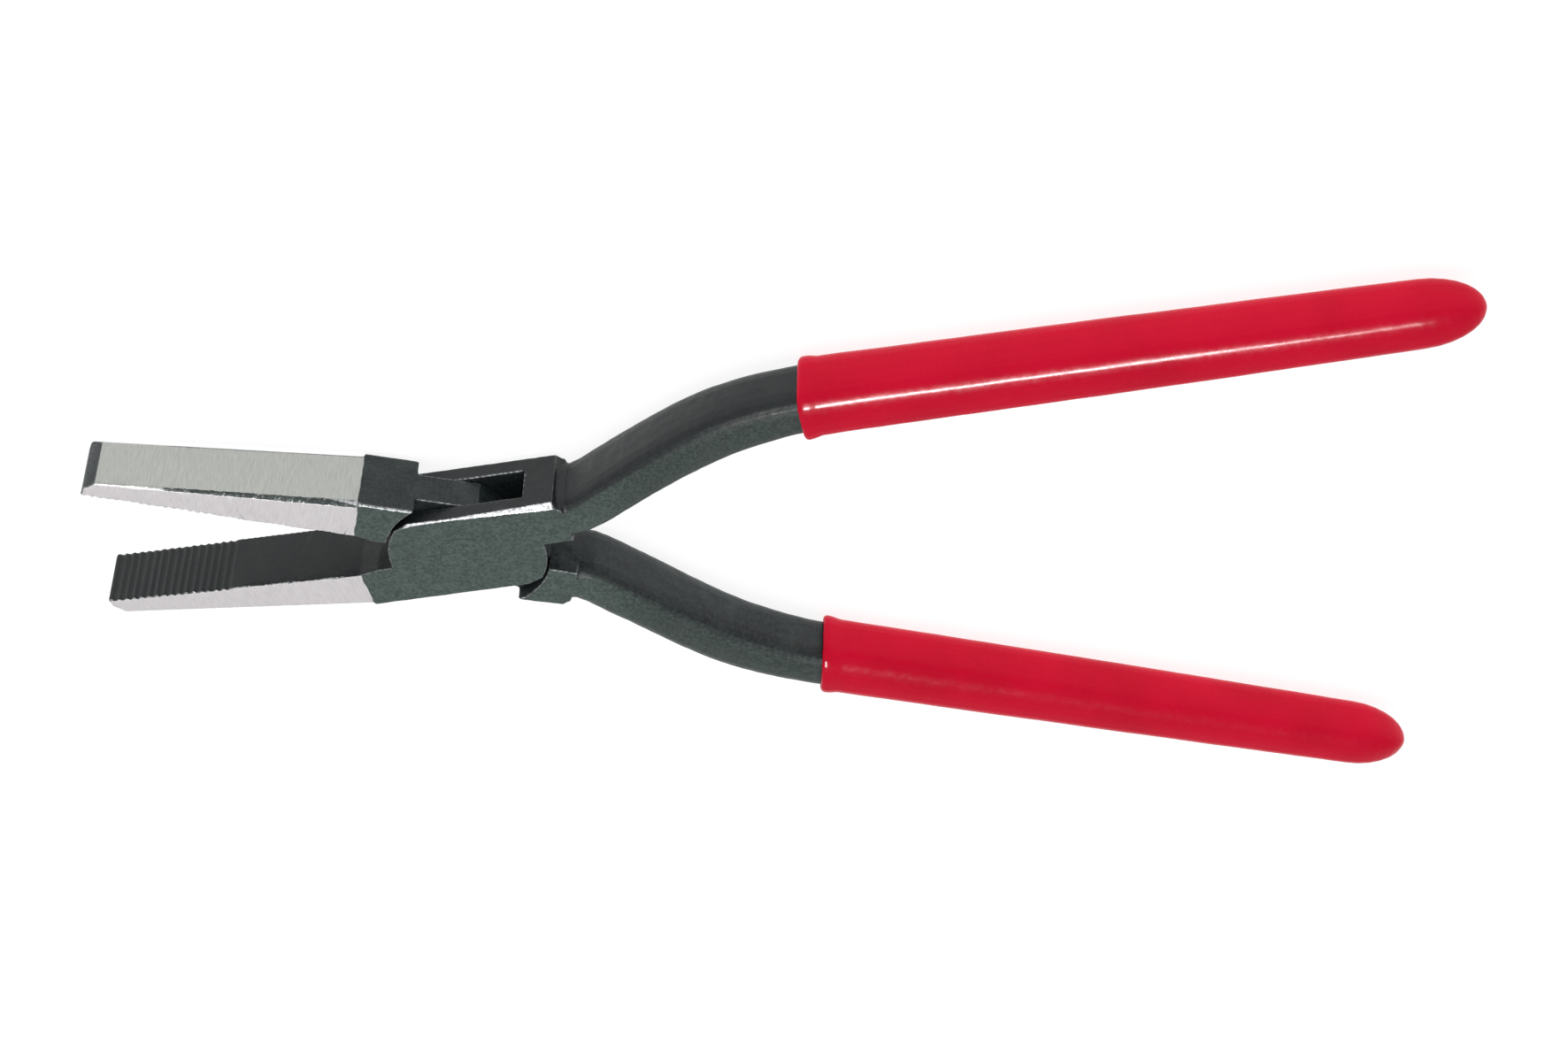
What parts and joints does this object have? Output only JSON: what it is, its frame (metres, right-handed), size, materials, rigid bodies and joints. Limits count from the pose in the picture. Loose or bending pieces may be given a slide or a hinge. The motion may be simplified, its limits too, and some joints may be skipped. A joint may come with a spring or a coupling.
{
  "type": "flat-nose sheet metal pliers",
  "caption": "Long-handled flat-nose pliers with a riveted box joint, serrated ground jaws and dipped vinyl grips.",
  "frame": {"origin": "centre of the rivet, on the lower face of the joint, which rests on a bench", "axes": "+X from the rivet towards the handles, +Y towards the upper jaw's opening side, +Z along the rivet, upwards"},
  "size_m": [0.2688, 0.1409, 0.0154],
  "materials": {
    "forged_steel": "black oxide on the forging, bright ground steel on the jaws' backs and sides",
    "vinyl": "glossy red dipped vinyl, slightly wavy"
  },
  "bodies": {
    "slotted_side": {"slotted_half": "forged_steel", "pivot_rivet": "forged_steel", "upper_grip": "vinyl"},
    "tongue_side": {"tongue_half": "forged_steel", "lower_grip": "vinyl"}
  },
  "joints": [
    {"name": "jaw_pivot", "type": "hinge", "parent": "slotted_side", "child": "tongue_side", "pos_m": [0, 0, 0.0068], "axis": [0, 0, 1], "range_deg": [-15.6, 24.4]}
  ]
}
